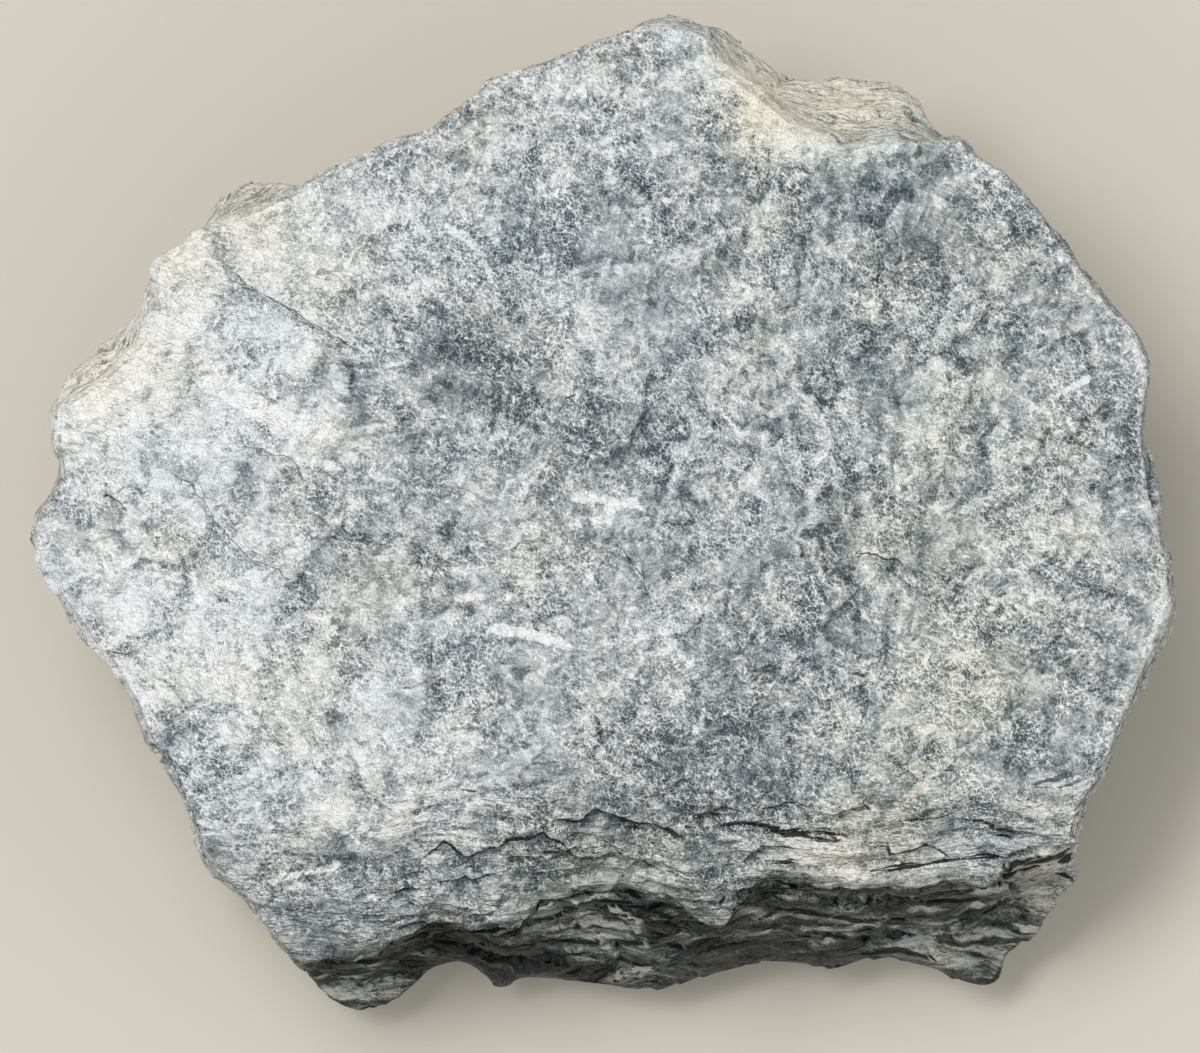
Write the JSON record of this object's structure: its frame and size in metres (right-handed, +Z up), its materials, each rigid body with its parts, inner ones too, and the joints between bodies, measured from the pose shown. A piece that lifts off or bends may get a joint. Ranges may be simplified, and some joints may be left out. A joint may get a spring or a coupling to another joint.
{
  "type": "raw soapstone",
  "caption": "Hand-sized broken piece of raw soapstone with one broad split face, a foliated stepped front side and a small flat to rest on.",
  "frame": {"origin": "on the resting plane, under the middle of the piece's bounding box", "axes": "+Z up out of the split face, +X along the longest side, -Y towards the foliated stepped side"},
  "size_m": [0.0965, 0.0845, 0.0379],
  "materials": {
    "soapstone": "matte"
  },
  "bodies": {
    "root": {"soapstone": "soapstone"}
  },
  "joints": []
}
